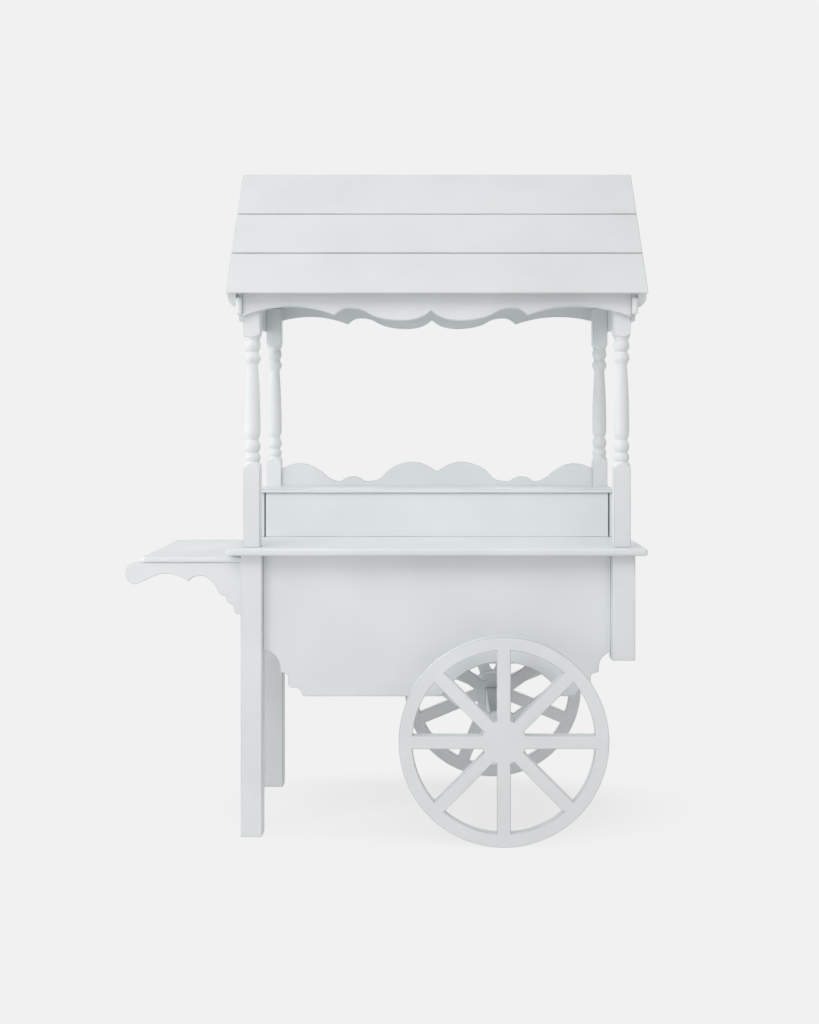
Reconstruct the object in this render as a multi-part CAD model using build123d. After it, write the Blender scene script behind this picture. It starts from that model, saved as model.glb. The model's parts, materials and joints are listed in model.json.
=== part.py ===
from build123d import *
import math
import os

# Driving dimensions, in millimetres

# Counter top
table_length = 1262.0
table_depth = 696.0
table_height = 873.0
table_thickness = 22.0
table_end_overhang = 39.0
table_side_overhang = 36.0
table_edge_round = 8.0

# Legs at the handle end and stub posts at the wheel end
leg_width = 64.0
stub_width = 70.0
stub_length = 319.0

# Panels that close the base, and the battens and cleats behind them
panel_thickness = 18.0
panel_recess = 28.0
side_panel_height = 432.0
end_panel_height = 313.0
batten_width = 20.0
cleat_width = 18.0
cleat_height = 20.0

# Shaped lower corners of the side panels, measured from the leg and the panel's lower edge
notch_radius = 52.0
notch_centre_height = 86.0
wheel_end_notch_shift = 15.0
notch_lip_drop = 13.0
corner_step_width = 24.0
corner_step_drop = 9.0
corner_step_bow = 2.3
corner_curl = 13.0
corner_ledge_width = 27.0
corner_ledge_height = 26.0
corner_toe_width = 18.0
corner_toe_bow_across = 11.0
corner_toe_bow_height = 15.6

# Wheels
wheel_diameter = 620.0
wheel_thickness = 30.0
rim_width = 40.0
spoke_width = 40.0
spoke_count = 8
hub_radius = 66.0
boss_radius = 62.0
boss_thickness = 30.0
boss_screw_count = 4
wheel_standoff = 72.0
rear_wheel_turn = 22.5

# Axle, its beam and the bushes that run on it
axle_inset = 331.0
axle_diameter = 20.0
axle_cover = 8.0
axle_end_gap = 2.0
beam_width = 60.0
washer_thickness = 3.0
washer_diameter = 42.0
thrust_gap = 0.4
bush_length = 32.0
bush_wall = 4.0
running_clearance = 0.05
bush_seat_clearance = 0.02
bore_clearance = 0.4
hub_screw_diameter = 8.0
hub_screw_recess = 10.0
groove_depth = 2.4
groove_gap = 0.4
lock_pin_diameter = 8.0

# Arch in the front side panel, and the two-armed hangers that carry the beam
arch_radius = 213.0
hanger_thickness = 18.0
hanger_boss_radius = 62.0
hanger_arm_width = 40.0
hanger_arm_angle = 54.0
hanger_lap = 100.0
hanger_screw_inset = 30.0

# Stepped display shelf
step_height = 157.0
step_depth = 213.0
step_board_thickness = 12.0
step_end_thickness = 18.0
step_nosing = 8.0
step_side_lip = 5.0
riser_end_gap = 3.5

# Backboard, and the heights of its shaped upper edge above the step
backboard_thickness = 18.0
cusp_height = 50.0
hump_height = 82.0
flank_height = 49.0
valley_height = 16.0
bead_height = 33.0
end_flank_height = 47.0
end_hump_height = 77.5
backboard_end_height = 60.0

# Where these lie, as shares of the way from the middle of the backboard to the post
hump_share = 0.183
flank_share = 0.325
valley_share = 0.467
bead_share = 0.542
bead_end_share = 0.617
end_flank_share = 0.74
end_hump_share = 0.865
hump_start_slope = 0.7
end_hump_end_slope = -0.55

# Turned posts: a square block at each end of a turned middle
post_width = 50.0
post_height = 767.0
post_block_height = 233.0
post_head_height = 115.0
bead_radius = 24.0
waist_radius = 16.6
vase_radius = 22.3
collar_radius = 24.8
collar_lip_radius = 22.8
fillet_radius = 21.8
groove_radius = 19.8
cove_radius = 28.0
lip_radius = 21.6
shoulder_length = 27.5

# Heights up the turning from the lower block
foot_cove_height = 15.5
foot_fillet_height = 23.0
foot_bead_bottom_height = 26.0
foot_bead_top_height = 53.0
foot_ring_top_height = 91.0
vase_lip_height = 103.0
vase_bottom_height = 119.0

# Depths down the turning from the upper block
vase_top_depth = 100.0
collar_depth = 82.0
collar_lip_depth = 72.0
neck_cove_depth = 60.5
neck_bead_depth = 40.0
neck_bead_top_depth = 25.5
neck_fillet_bottom_depth = 23.0
neck_fillet_depth = 18.0
head_cove_depth = 12.0

# Roof, above the post heads and past the rails
roof_rise = 418.0
eave_drop = 4.0
eave_overhang = 30.0
roof_end_overhang = 0.5
roof_board_thickness = 18.0
roof_board_gap = 3.5
upper_board_width = 195.7
middle_board_width = 180.9
ridge_beam_width = 36.0
ridge_beam_height = 60.0
roof_batten_width = 45.0
roof_batten_thickness = 20.0
roof_batten_end_gap = 95.0

# Rails between the post heads, each end a round finger that stands out past the valance
rail_thickness = 18.0
rail_height = 112.0
rail_rise = 36.0
finger_length = 19.0
finger_drop = 8.0
finger_rise = 17.0
finger_undercut = 65.0

# Gable boards, whose round feet stand inside the eaves
gable_thickness = 25.5
gable_drop = 40.0
gable_eave_gap = 37.0

# Valances, and the heights of their shaped lower edge above its ends
valance_thickness = 18.0
valance_drop = 68.0
valance_shift = -18.0
rear_valance_lift = 16.0
valance_cusp_height = 20.0
valance_belly_drop = 11.0
valance_rise_height = 7.0
valance_crest_height = 26.0
valance_hook_height = 5.0
valance_arc_height = 31.0

# Where these lie, as shares of the way from the middle of the valance to its end
belly_share = 0.168
rise_share = 0.313
crest_share = 0.425
hook_share = 0.497
arc_share = 0.73
belly_start_slope = -1.0
hook_end_slope = -0.9

# Side shelf and the scroll brackets that carry it, whose round ends are the push handles
shelf_drop = 30.0
shelf_end_gap = 14.0
shelf_side_lip = 6.0
shelf_thickness = 17.0
shelf_corner_round = 16.0
shelf_edge_round = 7.0
bracket_thickness = 24.0
bracket_height = 158.0
handle_radius = 33.0
handle_reach = 320.0
handle_neck_length = 8.0
handle_neck_depth = 48.0

# Arcs along a bracket's underside, each by its middle and its end, in shares of its reach and height
bracket_scroll = (
    ((0.72, 0.215), (0.508, 0.37)),
    ((0.39, 0.256), (0.29, 0.352)),
    ((0.25, 0.44), (0.222, 0.56)),
    ((0.205, 0.605), (0.15, 0.636)),
    ((0.138, 0.73), (0.077, 0.813)),
    ((0.07, 0.9), (0.055, 0.98)),
)

# Dowels and screws
post_dowel_diameter = 16.0
post_dowel_depth = 40.0
bracket_dowel_diameter = 10.0
bracket_dowel_depth = 30.0
bracket_dowel_inset = 40.0
shelf_dowel_diameter = 8.0
shelf_dowel_depth = 10.0
shelf_dowel_inset = 70.0
screw_diameter = 5.0
screw_head_diameter = 10.0
screw_head_height = 4.0
screw_bite = 12.0
screw_tip_gap = 2.5
table_screw_inset = 100.0
table_screw_cover = 6.0
fastener_clearance = 0.1

# A rounded edge takes at most this share of its board's thickness
rounding_limit = 0.45

# Two points closer than this are one point of an outline
touching = 0.001

# Names of the sides and the ends
SIDES = (-1, 1)
SIDE_NAMES = {-1: "front", 1: "rear"}
END_NAMES = {-1: "left", 1: "right"}

# Counter, legs and panels
table_underside = table_height - table_thickness
leg_x = table_length / 2 - table_end_overhang - leg_width / 2
leg_y = table_depth / 2 - table_side_overhang - leg_width / 2
leg_outer_x = leg_x + leg_width / 2
leg_outer_y = leg_y + leg_width / 2
leg_inner_x = leg_x - leg_width / 2
leg_inner_y = leg_y - leg_width / 2
panel_outer_y = leg_outer_y - panel_recess
panel_inner_y = panel_outer_y - panel_thickness
end_panel_outer_x = leg_outer_x - panel_recess
end_panel_inner_x = end_panel_outer_x - panel_thickness
panel_bottom = table_underside - side_panel_height
cleat_z = (table_underside - cleat_height, table_underside)
cleat_end_x = leg_inner_x - batten_width
cleat_end_y = leg_inner_y - batten_width
table_screw_tip = table_height - table_screw_cover

# Wheels, axle and hangers
axle_place = leg_inner_x - axle_inset
wheel_radius = wheel_diameter / 2
rim_inner_radius = wheel_radius - rim_width
wheel_inner_y = leg_outer_y + wheel_standoff
wheel_outer_y = wheel_inner_y + wheel_thickness
boss_inner_y = wheel_inner_y - boss_thickness
beam_end_y = boss_inner_y - thrust_gap - washer_thickness
axle_end_y = wheel_outer_y - axle_cover - axle_end_gap
bush_inner_y = axle_end_y - bush_length
axle_radius = axle_diameter / 2
bush_bore_radius = axle_radius + running_clearance
bush_outer_radius = bush_bore_radius + bush_wall
bush_seat_radius = bush_outer_radius + bush_seat_clearance
hub_screw_y = (boss_inner_y + bush_inner_y) / 2
arm_turn = math.radians(hanger_arm_angle)
hanger_lap_start = max(arch_radius, (panel_bottom - wheel_radius) / math.cos(arm_turn))
hanger_arm_reach = hanger_lap_start + hanger_lap

# Posts, step and backboard
post_outer_x = leg_x + post_width / 2
post_outer_y = leg_y + post_width / 2
post_inner_x = leg_x - post_width / 2
post_inner_y = leg_y - post_width / 2
backboard_front_y = leg_y - backboard_thickness / 2
step_half_length = post_outer_x
riser_half_length = step_half_length - step_end_thickness - riser_end_gap
step_front_y = backboard_front_y - step_depth
step_shelf_top = table_height + step_height

# Roof slope, as one run down and across from the ridge, with the rails and gables under it
rail_outer_x = post_outer_x + rail_thickness
gable_outer_x = rail_outer_x + gable_thickness
valance_front_y = post_outer_y + valance_thickness
rail_end_y = valance_front_y + finger_length
roof_half_length = gable_outer_x + roof_end_overhang
eave_height = table_height + post_height - eave_drop
ridge_height = eave_height + roof_rise
roof_run = rail_end_y + eave_overhang
slope_length = math.hypot(roof_run, roof_rise)
slope_cos = roof_run / slope_length
slope_sin = roof_rise / slope_length
roof_plumb = roof_board_thickness / slope_cos
soffit_y = (roof_rise - roof_plumb) * roof_run / roof_rise
rail_top = eave_height + rail_rise
rail_bottom = rail_top - rail_height

# Side shelf and brackets
shelf_top = table_height - shelf_drop
shelf_length = handle_reach - shelf_end_gap
shelf_half_depth = leg_y + bracket_thickness / 2 + shelf_side_lip
bracket_top = shelf_top - shelf_thickness
handle_end = leg_outer_x + handle_reach + handle_radius

# The whole part is centred on its own length, so the base stands off to the right
base_shift = (handle_end - max(roof_half_length, table_length / 2)) / 2

os.makedirs("parts", exist_ok=True)


def save(name, *solids):
    """Write one node, moved from the base's own centre to the part's centre."""
    placed = [Pos(base_shift, 0, 0) * solid for solid in solids]
    export_step(Compound(children=placed) if len(placed) > 1 else placed[0], f"parts/{name}.step")


def block(x_range, y_range, z_range):
    """A box between two planes each way."""
    size = [high - low for low, high in (x_range, y_range, z_range)]
    middle = [(high + low) / 2 for low, high in (x_range, y_range, z_range)]
    return Pos(*middle) * Box(*size)


def span(a, b):
    """The two ends of a stretch in rising order."""
    return (min(a, b), max(a, b))


def outline(start, *moves):
    """A closed face: a point draws a straight side, a pair of points an arc, a curve is used as drawn."""
    edges = []
    here = start
    for move in moves:
        if isinstance(move, Edge):
            edges.append(move)
            here = tuple(move @ 1)[:2]
        elif isinstance(move[0], tuple):
            edges.append(ThreePointArc(here, move[0], move[1]))
            here = move[1]
        else:
            edges.append(Line(here, move))
            here = move
    if math.dist(here, start) > touching:
        edges.append(Line(here, start))
    return make_face(edges)


def plate_xz(face, y_range):
    """A board cut to an outline seen from the front."""
    low, high = y_range
    return Pos(0, high, 0) * extrude(Plane.XZ * face, amount=high - low)


def plate_yz(face, x_range):
    """A board cut to an outline seen from the end."""
    low, high = x_range
    return Pos(low, 0, 0) * extrude(Plane.YZ * face, amount=high - low)


def rod_y(radius, y_range, x=0.0, z=0.0):
    """A round rod along the depth."""
    low, high = y_range
    return Pos(x, (low + high) / 2, z) * Rot(90, 0, 0) * Cylinder(radius, high - low)


def rod_z(radius, z_range, x=0.0, y=0.0):
    """An upright round rod."""
    low, high = z_range
    return Pos(x, y, (low + high) / 2) * Cylinder(radius, high - low)


def rod_x(radius, x_range, y=0.0, z=0.0):
    """A round rod along the length."""
    low, high = x_range
    return Pos((low + high) / 2, y, z) * Rot(0, 90, 0) * Cylinder(radius, high - low)


def mirror_x(shape):
    """The same piece at the other end of the cart."""
    return mirror(shape, about=Plane.YZ)


def mirror_y(shape):
    """The same piece on the other long side."""
    return mirror(shape, about=Plane.XZ)


# Legs at the handle end, stub posts at the wheel end, each drilled for its post dowel
def leg(side_x, side_y, width, bottom):
    leg_x_range = span(side_x * leg_inner_x, side_x * (leg_inner_x + width))
    leg_y_range = span(side_y * leg_inner_y, side_y * leg_outer_y)
    post = block(leg_x_range, leg_y_range, (bottom, table_underside))
    dowel_z = (table_underside - post_dowel_depth, table_underside)
    return post - rod_z(post_dowel_diameter / 2 + fastener_clearance, dowel_z, side_x * leg_x, side_y * leg_y)


bracket_dowel_x = (-leg_outer_x - bracket_dowel_depth, -leg_outer_x + bracket_dowel_depth)
bracket_foot = bracket_top - bracket_height
bracket_dowel_heights = (bracket_top - bracket_dowel_inset, bracket_foot + bracket_dowel_inset)


def bracket_dowel_hole(height, y):
    return rod_x(bracket_dowel_diameter / 2 + fastener_clearance, bracket_dowel_x, y, height)


def handle_leg(side_y):
    shape = leg(-1, side_y, leg_width, 0.0)
    for height in bracket_dowel_heights:
        shape = shape - bracket_dowel_hole(height, side_y * leg_y)
    return shape


for side in SIDES:
    save(f"{SIDE_NAMES[side]}_left_leg", handle_leg(side))
    save(f"{SIDE_NAMES[side]}_right_stub", leg(1, side, stub_width, table_underside - stub_length))


# Side panels: shaped lower corners, and an arch in the front one behind the wheel
def panel_corner(side_x, shift):
    """The moves along one lower corner, from the leg down to the panel's lower edge."""
    def at(across, up):
        return (side_x * (leg_inner_x + shift - across), panel_bottom + up)

    start_turn = math.asin(shift / notch_radius)
    middle_turn = (start_turn + math.pi / 2) / 2
    notch_middle = at(notch_radius * math.sin(middle_turn),
                      notch_centre_height + notch_radius * math.cos(middle_turn))
    lip_height = notch_centre_height - notch_lip_drop
    step = notch_radius + corner_step_width
    step_middle = at(notch_radius + corner_step_width / 2, lip_height - corner_step_bow)
    curl_bow = corner_curl * (1 - math.sqrt(0.5))
    ledge = step + corner_ledge_width
    toe_middle = at(ledge + corner_toe_bow_across, corner_toe_bow_height)
    return [
        at(shift, notch_centre_height + notch_radius * math.cos(start_turn)),
        (notch_middle, at(notch_radius, notch_centre_height)),
        at(notch_radius, lip_height),
        (step_middle, at(step, lip_height - corner_step_drop)),
        at(step, corner_ledge_height + corner_curl),
        (at(step + curl_bow, corner_ledge_height + curl_bow), at(step + corner_curl, corner_ledge_height)),
        at(ledge, corner_ledge_height),
        (toe_middle, at(ledge + corner_toe_width, 0)),
    ]


def move_end(move):
    """The point that a move of an outline leads to."""
    return move[1] if isinstance(move[0], tuple) else move


def reversed_moves(moves):
    """The same stretch of outline walked the other way, from its end."""
    back = [move_end(moves[-1])]
    for index in range(len(moves) - 1, 0, -1):
        target = move_end(moves[index - 1])
        back.append((moves[index][0], target) if isinstance(moves[index][0], tuple) else target)
    return back


panel_y = (panel_inner_y, panel_outer_y)


def side_panel():
    left = panel_corner(-1, 0.0)
    right = panel_corner(1, wheel_end_notch_shift)
    face = outline(left[0], *left[1:], *reversed_moves(right),
                   (leg_inner_x, table_underside), (-leg_inner_x, table_underside))
    return plate_xz(face, panel_y) - hanger_screw_holes((panel_inner_y, panel_inner_y + screw_bite))


def arched_panel():
    """The front panel opens around the axle, behind its wheel."""
    return side_panel() - rod_y(arch_radius, panel_y, axle_place, wheel_radius)


# Axle hangers: a round boss with two arms, screwed to the inside of each side panel
def hanger_screw_places():
    """Two screws in each arm, where the arm lies on the panel."""
    radii = (hanger_lap_start + hanger_screw_inset, hanger_arm_reach - hanger_screw_inset)
    return [(axle_place + side * radius * math.sin(arm_turn), wheel_radius + radius * math.cos(arm_turn))
            for side in SIDES for radius in radii]


def hanger_screw_holes(y_range):
    holes = Part()
    for x, z in hanger_screw_places():
        holes = holes + rod_y(screw_diameter / 2 + fastener_clearance, y_range, x, z)
    return holes


hanger_y = (panel_inner_y - hanger_thickness, panel_inner_y)


def axle_hanger():
    shape = rod_y(hanger_boss_radius, hanger_y, axle_place, wheel_radius)
    arm = block((-hanger_arm_width / 2, hanger_arm_width / 2), hanger_y, (0, hanger_arm_reach))
    for side in SIDES:
        shape = shape + Pos(axle_place, 0, wheel_radius) * Rot(0, side * hanger_arm_angle, 0) * arm
    half = beam_width / 2
    window_z = (wheel_radius - half, wheel_radius + half)
    window = block((axle_place - half, axle_place + half), hanger_y, window_z)
    return shape - window - hanger_screw_holes(hanger_y)


def screw_y(x, z, seat_y, tip_y):
    """A pan-head screw along the depth, its head against the seat."""
    direction = 1 if tip_y > seat_y else -1
    head = rod_y(screw_head_diameter / 2, span(seat_y, seat_y - direction * screw_head_height), x, z)
    return head + rod_y(screw_diameter / 2, span(seat_y, tip_y), x, z)


save("front_side_panel", mirror_y(arched_panel()))
save("rear_side_panel", side_panel())
save("front_axle_hanger", mirror_y(axle_hanger()))
save("rear_axle_hanger", axle_hanger())
hanger_screw_tip = panel_inner_y + screw_bite - screw_tip_gap
hanger_screws = [screw_y(x, z, side * hanger_y[0], side * hanger_screw_tip)
                 for side in SIDES for x, z in hanger_screw_places()]
save("hanger_screws", *hanger_screws)

# End panels between the legs, and battens in the corners
end_panel_z = (table_underside - end_panel_height, table_underside)
for side in SIDES:
    end_panel_x = span(side * end_panel_inner_x, side * end_panel_outer_x)
    save(f"{END_NAMES[side]}_end_panel", block(end_panel_x, (-leg_inner_y, leg_inner_y), end_panel_z))

batten_z = (table_underside - stub_length + batten_width, table_underside)
side_battens = []
end_battens = []
for side in SIDES:
    for end in SIDES:
        side_batten_x = span(end * (leg_inner_x - batten_width), end * leg_inner_x)
        side_battens.append(block(side_batten_x, span(side * leg_inner_y, side * panel_inner_y), batten_z))
        end_batten_y = span(side * (leg_inner_y - batten_width), side * leg_inner_y)
        end_battens.append(block(span(end * leg_inner_x, end * end_panel_inner_x), end_batten_y, batten_z))
save("side_panel_battens", *side_battens)
save("end_panel_battens", *end_battens)


# Cleats along the panels' upper edges, through which the counter top is screwed down
def table_screw_places():
    long_y = panel_inner_y - cleat_width / 2
    short_x = end_panel_inner_x - cleat_width / 2
    long_x = cleat_end_x - table_screw_inset
    short_y = cleat_end_y - table_screw_inset
    places = []
    for side in SIDES:
        places += [(x, side * long_y) for x in (-long_x, 0, long_x)]
        places += [(side * short_x, y) for y in (-short_y, short_y)]
    return places


def table_screw_holes(z_range):
    holes = Part()
    for x, y in table_screw_places():
        holes = holes + rod_z(screw_diameter / 2 + fastener_clearance, z_range, x, y)
    return holes


cleat_holes = table_screw_holes(cleat_z)
cleats = []
for side in SIDES:
    long_cleat_y = span(side * (panel_inner_y - cleat_width), side * panel_inner_y)
    cleats.append(block((-cleat_end_x, cleat_end_x), long_cleat_y, cleat_z) - cleat_holes)
    short_cleat_x = span(side * (end_panel_inner_x - cleat_width), side * end_panel_inner_x)
    cleats.append(block(short_cleat_x, (-cleat_end_y, cleat_end_y), cleat_z) - cleat_holes)
save("table_cleats", *cleats)

table_screws = []
for x, y in table_screw_places():
    head = rod_z(screw_head_diameter / 2, (cleat_z[0] - screw_head_height, cleat_z[0]), x, y)
    table_screws.append(head + rod_z(screw_diameter / 2, (cleat_z[0], table_screw_tip), x, y))
save("table_screws", *table_screws)

# Counter top with a rounded edge all round, drilled for the post dowels
table_round = min(table_edge_round, table_thickness * rounding_limit)
table_z = (table_underside, table_height)
tabletop = block((-table_length / 2, table_length / 2), (-table_depth / 2, table_depth / 2), table_z)
tabletop = fillet(tabletop.edges().filter_by(Axis.Z), table_round)
table_faces = tabletop.faces().sort_by(Axis.Z)
tabletop = fillet(table_faces[0].edges() + table_faces[-1].edges(), table_round)
tabletop = tabletop - table_screw_holes((table_underside, table_screw_tip + fastener_clearance))
for side in SIDES:
    for end in SIDES:
        dowel_radius = post_dowel_diameter / 2 + fastener_clearance
        tabletop = tabletop - rod_z(dowel_radius, table_z, end * leg_x, side * leg_y)
save("tabletop", tabletop)


# Turned posts: one square blank with the middle turned round on a lathe
def turned_post():
    def up(radius, height):
        return (radius, post_block_height + height)

    def down(radius, depth):
        return (radius, post_height - post_head_height - depth)

    foot_bead_middle = (foot_bead_bottom_height + foot_bead_top_height) / 2
    foot_ring_middle = (foot_bead_top_height + foot_ring_top_height) / 2
    vase_middle = (vase_radius, (up(0, vase_bottom_height)[1] + down(0, vase_top_depth)[1]) / 2)
    profile = outline(
        (0, 0),
        (post_width, 0),
        up(post_width, -shoulder_length),
        (up(cove_radius, foot_cove_height), up(fillet_radius, foot_fillet_height)),
        up(groove_radius, foot_bead_bottom_height),
        (up(bead_radius, foot_bead_middle), up(waist_radius, foot_bead_top_height)),
        (up(bead_radius, foot_ring_middle), up(waist_radius, foot_ring_top_height)),
        (up(lip_radius, vase_lip_height), up(bead_radius, vase_bottom_height)),
        (vase_middle, down(waist_radius, vase_top_depth)),
        down(collar_radius, collar_depth),
        (down(collar_lip_radius, collar_lip_depth), down(waist_radius, neck_cove_depth)),
        (down(bead_radius, neck_bead_depth), down(groove_radius, neck_bead_top_depth)),
        down(fillet_radius, neck_fillet_bottom_depth),
        down(fillet_radius, neck_fillet_depth),
        (down(cove_radius, head_cove_depth), down(post_width, -shoulder_length)),
        (post_width, post_height),
        (0, post_height))
    turning = revolve(Plane.XZ * profile, Axis.Z)
    half = post_width / 2
    square = block((-half, half), (-half, half), (0, post_height))
    socket = rod_z(post_dowel_diameter / 2 + fastener_clearance, (0, post_dowel_depth))
    return (turning & square) - socket


post = turned_post()
post_dowel_z = (table_underside - post_dowel_depth, table_height + post_dowel_depth)
post_dowel = rod_z(post_dowel_diameter / 2, post_dowel_z)
post_dowels = []
for side in SIDES:
    for end in SIDES:
        place = Pos(end * leg_x, side * leg_y, 0)
        save(f"{SIDE_NAMES[side]}_{END_NAMES[end]}_post", place * Pos(0, 0, table_height) * post)
        post_dowels.append(place * post_dowel)
save("post_dowels", *post_dowels)

# Stepped display shelf: a riser between two ends, and a shelf notched around the rear posts
riser_z = (table_height, step_shelf_top - step_board_thickness)
step_shelf_z = (riser_z[1], step_shelf_top)
riser_back_y = step_front_y + step_board_thickness
save("step_riser", block((-riser_half_length, riser_half_length), (step_front_y, riser_back_y), riser_z))
for side in SIDES:
    step_end_x = span(side * step_half_length, side * (step_half_length - step_end_thickness))
    save(f"step_{END_NAMES[side]}_end", block(step_end_x, (step_front_y, post_inner_y), riser_z))
step_shelf_end = step_half_length + step_side_lip
step_shelf_y = (step_front_y - step_nosing, backboard_front_y)
step_shelf = block((-step_shelf_end, step_shelf_end), step_shelf_y, step_shelf_z)
for side in SIDES:
    notch_x = span(side * post_inner_x, side * step_shelf_end)
    step_shelf = step_shelf - block(notch_x, (post_inner_y, backboard_front_y), step_shelf_z)
save("step_shelf", step_shelf)


# Backboard with humps between cusps, standing between the rear posts
def backboard():
    def at(share, height):
        return (share * post_inner_x, step_shelf_top + height)

    hump = [at(0, cusp_height), at(hump_share, hump_height), at(flank_share, flank_height),
            at(valley_share, valley_height)]
    bead = (at(bead_share, bead_height), at(bead_end_share, valley_height))
    end_hump = [bead[1], at(end_flank_share, end_flank_height), at(end_hump_share, end_hump_height),
                at(1, backboard_end_height)]
    face = outline(hump[0], Spline(*hump, tangents=[(1, hump_start_slope), (1, 0)]), bead,
                   Spline(*end_hump, tangents=[(1, 0), (1, end_hump_end_slope)]),
                   (post_inner_x, table_height), (0, table_height))
    half = plate_xz(face, (backboard_front_y, backboard_front_y + backboard_thickness))
    return half + mirror_x(half)


save("scalloped_backboard", backboard())


# Roof: points are given down the slope from the ridge, and square to it
def on_slope(down, outward):
    """A point of the front slope, seen from the end of the cart."""
    return (-down * slope_cos - outward * slope_sin, ridge_height - down * slope_sin + outward * slope_cos)


def under_roof(y):
    """Height of the underside of the roof boards at a distance from the ridge."""
    return ridge_height - roof_plumb - abs(y) * roof_rise / roof_run


# Three boards to a slope: the upper one is cut plumb at the ridge, the lower one level at the eave
middle_board_top = upper_board_width + roof_board_gap
lower_board_top = middle_board_top + middle_board_width + roof_board_gap
roof_rows = {"upper": (0, upper_board_width),
             "middle": (middle_board_top, middle_board_top + middle_board_width),
             "lower": (lower_board_top, slope_length)}


def roof_board(row):
    top, bottom = roof_rows[row]
    high_edge = [on_slope(top, 0), on_slope(top, -roof_board_thickness)]
    low_edge = [on_slope(bottom, -roof_board_thickness), on_slope(bottom, 0)]
    if row == "upper":
        high_edge[1] = (0, under_roof(0))
    if row == "lower":
        low_edge[0] = (-soffit_y, eave_height)
    return plate_yz(outline(*high_edge, *low_edge), (-roof_half_length, roof_half_length))


for row in roof_rows:
    board = roof_board(row)
    save(f"front_{row}_roof_board", board)
    save(f"rear_{row}_roof_board", mirror_y(board))

beam_half = ridge_beam_width / 2
beam_foot = under_roof(0) - ridge_beam_height
ridge_face = outline((0, under_roof(0)), (beam_half, under_roof(beam_half)), (beam_half, beam_foot),
                     (-beam_half, beam_foot), (-beam_half, under_roof(beam_half)))
save("ridge_beam", plate_yz(ridge_face, (-rail_outer_x, rail_outer_x)))


# One batten under each slope holds its boards together
def roof_batten():
    inner = -roof_board_thickness - roof_batten_thickness
    high = roof_batten_end_gap
    low = slope_length - roof_batten_end_gap
    face = outline(on_slope(high, -roof_board_thickness), on_slope(low, -roof_board_thickness),
                   on_slope(low, inner), on_slope(high, inner))
    return plate_yz(face, (-roof_batten_width / 2, roof_batten_width / 2))


save("roof_battens", roof_batten(), mirror_y(roof_batten()))


# Gable boards fill the roof's ends, their lower edges rounded off seen from the end and from the front
def gable_board():
    bottom = eave_height - gable_drop
    tip_y = roof_run - gable_eave_gap
    foot_y = tip_y - gable_drop
    bow = gable_drop * math.sqrt(0.5)
    bend = (foot_y + bow, eave_height - bow)
    end_face = outline((-foot_y, bottom), (foot_y, bottom), (bend, (tip_y, eave_height)),
                       (soffit_y, eave_height), (0, under_roof(0)), (-soffit_y, eave_height),
                       (-tip_y, eave_height), ((-bend[0], bend[1]), (-foot_y, bottom)))
    bend_x = rail_outer_x + gable_thickness * math.sqrt(0.5)
    front_face = outline((rail_outer_x, bottom), ((bend_x, bend[1]), (gable_outer_x, eave_height)),
                         (gable_outer_x, ridge_height), (rail_outer_x, ridge_height))
    return plate_yz(end_face, (rail_outer_x, gable_outer_x)) & plate_xz(front_face, (-roof_run, roof_run))


# Rails tie the post heads together under the gables, deeper between the undercuts behind their fingers
def side_rail():
    finger_z = rail_bottom + finger_rise
    undercut_y = rail_end_y - finger_undercut
    belly_y = undercut_y - finger_rise
    bow = finger_rise * math.sqrt(0.5)
    bend = (belly_y + bow, finger_z - bow)
    shoulder_y = (under_roof(0) - rail_top) * roof_run / roof_rise
    wall_top = under_roof(valance_front_y)
    face = outline((-belly_y, rail_bottom), (belly_y, rail_bottom), (bend, (undercut_y, finger_z)),
                   (valance_front_y, finger_z), (valance_front_y, wall_top), (shoulder_y, rail_top),
                   (-shoulder_y, rail_top), (-valance_front_y, wall_top), (-valance_front_y, finger_z),
                   (-undercut_y, finger_z), ((-bend[0], bend[1]), (-belly_y, rail_bottom)))
    finger = rail_finger(finger_z)
    return plate_yz(face, (post_outer_x, rail_outer_x)) + finger + mirror_y(finger)


def rail_finger(bottom):
    """A finger as wide as its rail, half round in front and domed on top."""
    radius = rail_thickness / 2
    middle_x = post_outer_x + radius
    dome_y = rail_end_y - radius
    dome_z = eave_height - finger_drop - radius
    shank = block((post_outer_x, rail_outer_x), (valance_front_y, dome_y), (bottom, dome_z))
    shank = shank + rod_y(radius, (valance_front_y, dome_y), middle_x, dome_z)
    tip = rod_z(radius, (bottom, dome_z), middle_x, dome_y) + Pos(middle_x, dome_y, dome_z) * Sphere(radius)
    return shank + tip


for name, shape in (("gable_board", gable_board()), ("side_rail", side_rail())):
    save(f"right_{name}", shape)
    save(f"left_{name}", mirror_x(shape))


# Valances hang in front of the post heads, bevelled along the top to lie under the roof
valance_y = (post_outer_y, valance_front_y)


def valance_half(side, lift):
    """One half, whose pattern is shifted as a whole while its end stays at the rail."""
    def at(share, height, shift=valance_shift):
        return (side * share * post_outer_x + shift, eave_height - valance_drop + lift + height)

    top = under_roof(post_outer_y)
    belly = [at(0, valance_cusp_height), at(belly_share, -valance_belly_drop),
             at(rise_share, valance_rise_height), at(crest_share, valance_crest_height)]
    hook = [belly[-1], at(hook_share, valance_hook_height)]
    end_arc = (at(arc_share, valance_arc_height, valance_shift / 2), at(1, 0, 0.0))
    face = outline(belly[0], Spline(*belly, tangents=[(side, belly_start_slope), (side, 0)]),
                   Spline(*hook, tangents=[(side, 0), (side, hook_end_slope)]), end_arc,
                   (side * post_outer_x, top), (valance_shift, top))
    return plate_xz(face, valance_y)


def valance(lift):
    inner, outer = valance_y
    bevel = outline((inner, under_roof(inner)), (outer, under_roof(outer)), (outer, under_roof(inner)))
    board = valance_half(-1, lift) + valance_half(1, lift)
    return board - plate_yz(bevel, (-post_outer_x, post_outer_x))


save("front_valance", mirror_y(valance(0.0)))
save("rear_valance", valance(rear_valance_lift))

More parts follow.
